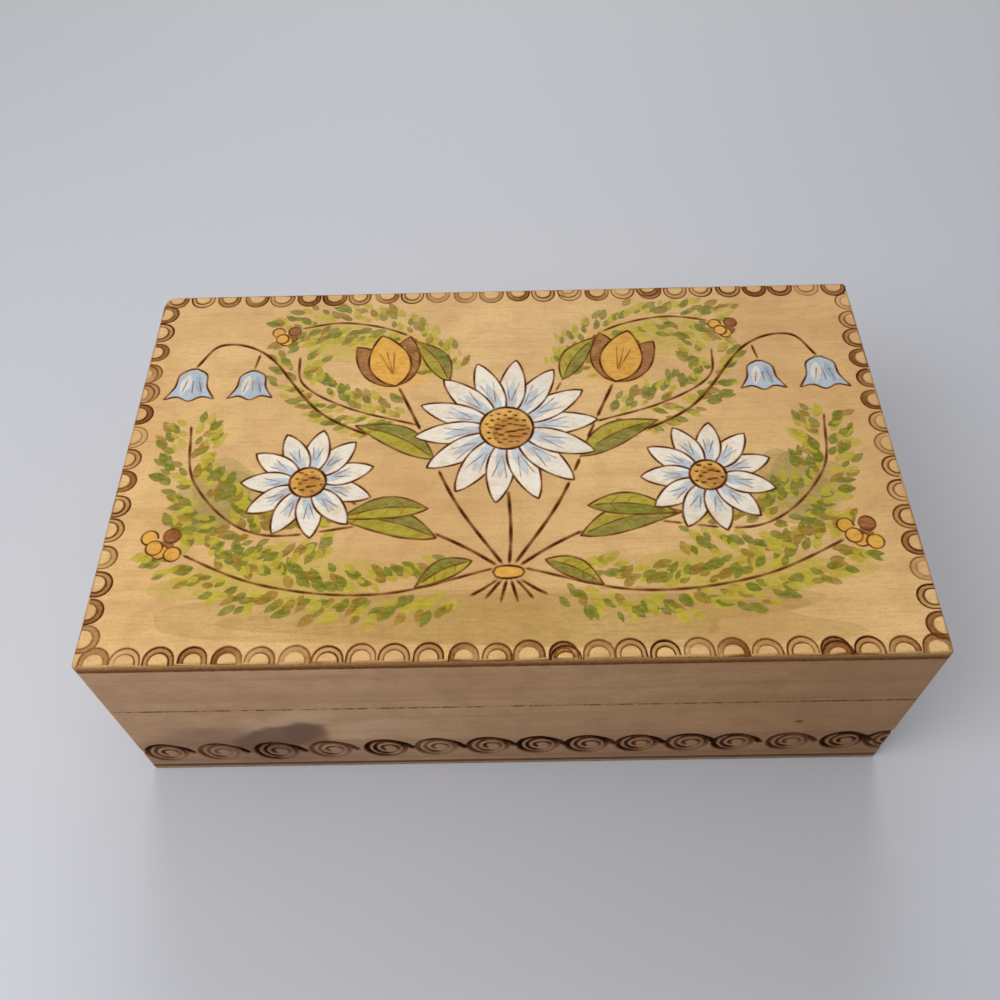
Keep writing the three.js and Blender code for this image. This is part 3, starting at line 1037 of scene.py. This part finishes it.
def position_mm(tree):
    place = tree.nodes.new("ShaderNodeTexCoord").outputs["Object"]
    return vector_math("SCALE", {0: place, "Scale": 1 / MM})["Vector"]


def axes(vector):
    return node("ShaderNodeSeparateXYZ", {0: vector}).outputs


def attribute(tree, name):
    made = tree.nodes.new("ShaderNodeAttribute")
    made.attribute_name = name
    return made.outputs


# Wood

# Tones from light to dark: the varnished lid, the handled sides, the raw inside
LID_WOOD = srgb(229, 191, 132), srgb(213, 171, 114), srgb(187, 142, 90)
SIDE_WOOD = srgb(222, 173, 126), srgb(208, 157, 112), srgb(176, 126, 86)
RAW_WOOD = srgb(226, 200, 160)
# Painted light on the front boards: a grey painted sheen at the left end, painted shade at the right end
FRONT_LEFT_SHEEN = (0.95, 1.03, 1.11)
FRONT_RIGHT_SHADE = (0.68, 0.66, 0.55)
SCORCH = srgb(130, 80, 38)
WALL_SCORCH = srgb(122, 82, 60)
CHAR = srgb(44, 25, 17)
# dark brown for dirt in the seam, joints and knot, also used for painted shade at the foot of the box
DIRT_AND_SHADE = srgb(82, 52, 26)
SMUDGE = srgb(116, 80, 58)
SCUFF = srgb(228, 194, 158)
SKIN = 0.05  # a face this near to the inside is part of it
SHINE_LOSS = 1.7  # how fast the shine goes as the burn darkens
SMOKE_REACH = 2.5  # above and below the scroll

# Marks on the front: middle, half sizes, tilt, softness of the rim, unevenness, share, colour
FRONT_MARKS = (
    ((-53, 27), (13, 4.5), -0.5, 0.6, 12.0, 0.42, SCUFF),
    ((-33, 23.5), (8, 3.5), -0.2, 0.7, 12.0, 0.42, SCUFF),
    ((-71, 19.5), (12.5, 5.5), -0.2, 0.5, 8.0, 0.48, SMUDGE),
    ((-55.3, 18.6), (13, 6), -0.52, 0.22, 4.0, 0.82, SMUDGE),
    ((-48.5, 20.5), (5.5, 7), 0, 0.25, 4.0, 0.6, SMUDGE),
    ((-59, 12), (11, 9), 0, 0.5, 8.0, 0.4, SMUDGE),
    ((66, 23.4), (0.9, 0.8), 0, 0.5, 0.6, 0.8, DIRT_AND_SHADE),
)

# Darkening by the height: level, reach, least and most share
DIRT_AND_SHADE_LEVELS = (
    # dirt in the seam
    (SEAM, 0.55, 0.05, 0.9),
    # a faint even darkening over a few millimetres just above the bottom joint
    (BOTTOM_JOINT + 2.2, 2.4, 0.22, 0.22),
    # dirt in the bottom joint
    (BOTTOM_JOINT, 1.3, 0.9, 0.9),
    # dirt in the joint under the lid's top panel
    (TOP_JOINT, 0.3, 0.5, 0.9),
    # painted shade along the foot, where the box meets the floor
    (0, 1.4, 0.4, 0.9),
)


def wood_colour(place, grain, seed, tones, figure):
    """Fine straight-grained pale wood, and its fibres.
    grain is the axis that the fibres follow, figure how much they show."""
    light, middle, dark = tones
    offset = (seed * 13.0, seed * 7.0, seed * 3.0)

    def fibres(along, across, detail, roughness=0.55):
        scale = tuple(along if axis == grain else across for axis in "XYZ")
        return noise(stretched(place, scale, offset), 1.0, detail, roughness)

    broad = fibres(0.018, 0.018, 2.0)
    rings = fibres(0.008, 0.22, 4.0, 0.6)
    fibre = fibres(0.09, 3.4, 3.0, 0.65)
    streak = fibres(0.17, 1.5, 3.0, 0.6)
    fleck = fibres(0.5, 5.0, 1.0)
    cloud = fibres(0.16, 0.16, 3.0)
    speck = noise(place, 2.2, 3.0)
    colour = mix(ramp(broad, 0.34, 0.66), middle, light)
    layers = (
        (rings, 0.42, 0.72, 0.9 * figure, dark),
        (fibre, 0.48, 0.8, 0.9 * figure, dark),
        (streak, 0.5, 0.72, figure, dark),
        (cloud, 0.42, 0.68, 0.3, dark),
        (speck, 0.46, 0.7, 0.35, dark),
        (fleck, 0.6, 0.76, 0.6 * figure, SCORCH),
    )
    for layer in layers:
        colour = toned(colour, *layer)
    return colour, fibre


def burned(place, colour, scorch):
    """Wood darkened by the mesh's burn, which noise breaks up, and how dark it is."""
    grit = scaled(noise(place, 1.6, 4.0), 0.7, 0.65)
    dark = math_node("MULTIPLY", attribute(place.id_data, "burn")["Fac"], grit, clamp=True)
    colour = mix(ramp(dark, 0.03, 0.52), colour, scorch)
    return mix(ramp(dark, 0.4, 0.88), colour, CHAR), dark


def blob(place, middle, size, tilt, soft, waver):
    """1 inside an uneven tilted ellipse on the front."""
    cloud = node("ShaderNodeTexNoise", {"Vector": place, "Scale": 0.13, "Detail": 3.0}).outputs["Color"]
    shift = vector_math("SUBTRACT", {0: cloud, 1: (0.5, 0.5, 0.5)})["Vector"]
    bent = vector_math("MULTIPLY_ADD", {0: shift, 1: (waver,) * 3, 2: place})["Vector"]
    ellipse = {"Vector": bent, "Location": (middle[0], -HALF_DEPTH, middle[1]), "Rotation": (0, tilt, 0),
               "Scale": (size[0], HALF_DEPTH, size[1])}
    moved = node("ShaderNodeMapping", ellipse, vector_type="TEXTURE").outputs["Vector"]
    return ramp(vector_math("LENGTH", {0: moved})["Value"], 1 + soft, 1 - soft)


def front_light_and_marks(place, colour):
    """The front has painted light: a greyish painted sheen at its left end turning into darker, browner
    painted shade at its right end. It also has scuffs, smudges and a small knot.
    """
    across = ramp(axes(place)["X"], -HALF_LENGTH / 2, HALF_LENGTH)
    # painted sheen at the left end fading into painted shade at the right end
    painted_light_tint = mix(across, FRONT_LEFT_SHEEN, FRONT_RIGHT_SHADE)
    colour = mix(1.0, colour, painted_light_tint, "MULTIPLY")
    for *shape, share, tone in FRONT_MARKS:
        colour = mix(scaled(blob(place, *shape), share), colour, tone)
    return colour


def grimed_and_shaded(place, colour):
    """Dirt in the seam and joints, in uneven dashes, painted shade along the foot of the box, and the
    burner's smoke along the scroll.
    """
    x, y, height = axes(place)
    end = scaled(math_node("ABSOLUTE", x), 1.0, 1.0 - HALF_LENGTH)
    face = scaled(math_node("ABSOLUTE", y), 1.0, 1.0 - HALF_DEPTH)
    outside = ramp(math_node("MAXIMUM", end, face), 0.0, 0.5)
    dashes = ramp(noise(stretched(place, (0.5, 0.5, 0.1)), 1.0, 4.0, 0.7), 0.38, 0.62)
    for level, reach, least, most in DIRT_AND_SHADE_LEVELS:
        away = math_node("ABSOLUTE", scaled(height, 1.0, -level))
        near = ramp(away, reach, reach * 0.3)
        share = product(near, scaled(dashes, most - least, least), outside)
        colour = mix(share, colour, DIRT_AND_SHADE)
    low, high = SCROLL_HEIGHT - SCROLL_RADIUS, SCROLL_HEIGHT + SCROLL_RISE + SCROLL_RADIUS
    over_low = ramp(height, low - SMOKE_REACH, low)
    under_high = ramp(height, high + SMOKE_REACH, high)
    smoke = scaled(product(over_low, under_high), 0.3)
    return mix(product(smoke, outside), colour, SMUDGE)


def raw_inside(place, colour):
    """Paler unvarnished wood inside the box."""
    x, y, z = axes(place)
    across = math_node("LESS_THAN", math_node("ABSOLUTE", x), HALF_LENGTH - WALL + SKIN)
    deep = math_node("LESS_THAN", math_node("ABSOLUTE", y), HALF_DEPTH - WALL + SKIN)
    below = math_node("LESS_THAN", z, panel_low[2] + SKIN)
    above = math_node("GREATER_THAN", z, floor_high[2] - SKIN)
    inside = product(across, deep, below, above)
    return mix(scaled(inside, 0.6), colour, RAW_WOOD)


def painted(place, colour):
    """The lid's paint: streaky body colour that lets some of the wood through."""
    paint = attribute(place.id_data, "paint")
    streaks = noise(stretched(place, (0.5, 1.4, 1.0)), 1.0, 4.0, 0.65)
    pools = noise(place, 0.28, 3.0)
    shade = toned(paint["Color"], streaks, 0.45, 0.75, 0.3, BARK, "MULTIPLY")
    shade = toned(shade, pools, 0.42, 0.7, 0.3, OCHRE, "MULTIPLY")
    cover = product(paint["Alpha"], scaled(ramp(streaks, 0.3, 0.6), 0.25, 0.78))
    return mix(cover, colour, shade)


def wood_material(name, grain, seed, tones, figure, gloss, scorch=WALL_SCORCH, marks=None, paint=None):
    material, shader = new_material(name)
    place = position_mm(shader.id_data)
    colour, fibre = wood_colour(place, grain, seed, tones, figure)
    colour = raw_inside(place, colour)
    # marks may paint light too: the front boards' painted sheen and painted shade come in here
    if marks:
        colour = marks(place, colour)
    colour = grimed_and_shaded(place, colour)
    if paint:
        colour = paint(place, colour)
    colour, dark = burned(place, colour, scorch)
    shine = math_node("MAXIMUM", scaled(dark, -SHINE_LOSS * gloss, gloss), 0.0)
    rough = math_node("ADD", scaled(fibre, 0.2, 0.36), scaled(dark, 0.25))
    bump = node("ShaderNodeBump", {"Height": fibre, "Strength": 0.15, "Distance": 0.1 * MM})
    plug(shader, {"Base Color": colour, "Specular IOR Level": shine, "Roughness": rough,
                  "Normal": bump.outputs["Normal"]})
    return material


# the front boards carry painted sheen and painted shade along their length, besides their marks
front_wood = wood_material("front_wood", "X", 1.0, SIDE_WOOD, 0.44, 0.2, marks=front_light_and_marks)
wood_along_x = wood_material("long_board_wood", "X", 2.0, SIDE_WOOD, 0.3, 0.2)
wood_along_y = wood_material("short_board_wood", "Y", 4.0, SIDE_WOOD, 0.3, 0.2)
lid_wood = wood_material("lid_panel_wood", "X", 6.0, LID_WOOD, 0.4, 0.12, SCORCH, paint=painted)


# Tray and lid

def board_spans():
    """For each side, its boards' stretch of the outline, their inner corners in plan and their wood."""
    front_end = long_board_end(CORNER_RADIUS)
    side_start = front_end + GLUE_LINE
    side_end = side_start + side_high[1] - side_low[1]
    back_middle = tray_outline.total / 2
    shoulder = HALF_LENGTH - WALL - GLUE_LINE
    lip = wall_low[1] + CORNER_LIP
    front_inner = [(shoulder, lip), (shoulder, wall_high[1]), (-shoulder, wall_high[1]), (-shoulder, lip)]
    right_inner = [(side_low[0], side_high[1]), (side_low[0], side_low[1])]
    back_inner = [(-x, -y) for x, y in front_inner]
    left_inner = [(-x, y) for x, y in reversed(right_inner)]
    return {
        "front": ((-front_end, front_end), front_inner, front_wood),
        "right": ((side_start, side_end), right_inner, wood_along_y),
        "back": ((back_middle - front_end, back_middle + front_end), back_inner, wood_along_x),
        "left": ((-side_end, -side_start), left_inner, wood_along_y),
    }


def build_boards():
    """The tray's walls with their scroll, and the lid's rails, worn at the back left corner."""
    scroll = scroll_strokes()
    worn_end = tray_outline.total / 2 + long_board_end(WORN_CORNER_RADIUS)
    for place, (along, inner, wood) in board_spans().items():
        back = place == "back"
        ornament = strokes_between(scroll, *along)
        board(f"tray_{place}", "base", f"base_{place}_wall", tray_outline, along, inner,
              (wall_low[2], wall_high[2]), (BOTTOM_JOINT_RADIUS, SEAM_EDGE_RADIUS), ornament, wood, back)
        outline = lid_outline if back else tray_outline
        lid_along = (along[0], worn_end) if back else along
        board(f"lid_{place}", "lid", f"lid_{place}_rail", outline, lid_along, inner,
              (rail_low[2], rail_high[2]), (SEAM_EDGE_RADIUS, TOP_JOINT_RADIUS), [], wood, back)


build_boards()
slab("tray_bottom", "base", "bottom_panel", tray_outline, (floor_low[2], floor_high[2]),
     (BOTTOM_EDGE_RADIUS, BOTTOM_JOINT_RADIUS), wood_along_x)
top_panel(lid_wood)


# Hinges, which keep their CAD shape

def metal_material(name, colour, dull):
    material, shader = new_material(name)
    place = position_mm(shader.id_data)
    shade = mix(ramp(noise(place, 0.6, 4.0), 0.35, 0.7), colour, dull)
    rough = scaled(noise(place, 1.8, 3.0), 0.3, 0.25)
    plug(shader, {"Base Color": shade, "Metallic": 1.0, "Roughness": rough})
    return material


brass = metal_material("aged_brass", srgb(204, 166, 100), srgb(160, 122, 68))
for name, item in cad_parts.items():
    if name.startswith("hinge"):
        item.data.materials.clear()
        item.data.materials.append(brass)


# Camera, light and floor

CAMERA_AT = (0.86, -144.85, 242.86)
CAMERA_TURN = (35.198, 0.659, -1.094)
CAMERA_LENS = 36.112
CAMERA_SENSOR = 36
NEAREST_SEEN = 0.005
LIGHT_COLOUR = (1.0, 0.99, 0.97)
WORLD_STRENGTH = 0.35
HALF_FLOOR = 3.0


def add_camera():
    data = bpy.data.cameras.new("camera")
    data.sensor_width = CAMERA_SENSOR
    data.lens = CAMERA_LENS
    data.clip_start = NEAREST_SEEN
    camera = add_object("camera", data)
    camera.location = [c * MM for c in CAMERA_AT]
    camera.rotation_mode = "ZYX"
    camera.rotation_euler = [radians(a) for a in CAMERA_TURN]
    bpy.context.scene.camera = camera


def add_light(name, kind, at, strength):
    """A light that points at the box."""
    data = bpy.data.lights.new(name, kind)
    data.energy = strength
    data.color = LIGHT_COLOUR
    light = add_object(name, data)
    light.location = at
    light.rotation_euler = (-Vector(at)).to_track_quat("-Z", "Y").to_euler()
    return data


def add_lights():
    lamp = add_light("left lamp", "AREA", (-0.334, -0.193, 0.46), 1.65)
    lamp.shape = "DISK"
    lamp.size = 0.4
    add_light("back window", "SUN", (0.0, 0.866, 0.5), 1.35).angle = radians(40)
    add_light("ceiling", "SUN", (0.0, 0.0, 1.0), 1.25).angle = radians(120)


def add_world():
    """A pale band round the horizon, dark above."""
    world = bpy.data.worlds.new("studio")
    world.use_nodes = True
    bpy.context.scene.world = world
    nodes = world.node_tree.nodes
    direction = nodes.new("ShaderNodeTexCoord").outputs["Generated"]
    plug(nodes["Background"], {"Color": ramp(axes(direction)["Z"], 0.3, 0.05), "Strength": WORLD_STRENGTH})


def add_floor():
    mesh = bpy.data.meshes.new("floor")
    corners = [(x * HALF_FLOOR, y * HALF_FLOOR, 0) for x, y in ((-1, -1), (1, -1), (1, 1), (-1, 1))]
    mesh.from_pydata(corners, [], [(0, 1, 2, 3)])
    floor = add_object("floor", mesh)
    material, shader = new_material("pale_floor")
    plug(shader, {"Base Color": (*srgb(196, 199, 208), 1), "Roughness": 0.6})
    mesh.materials.append(material)


add_camera()
add_lights()
add_world()
add_floor()
bpy.context.scene.view_settings.view_transform = "Standard"
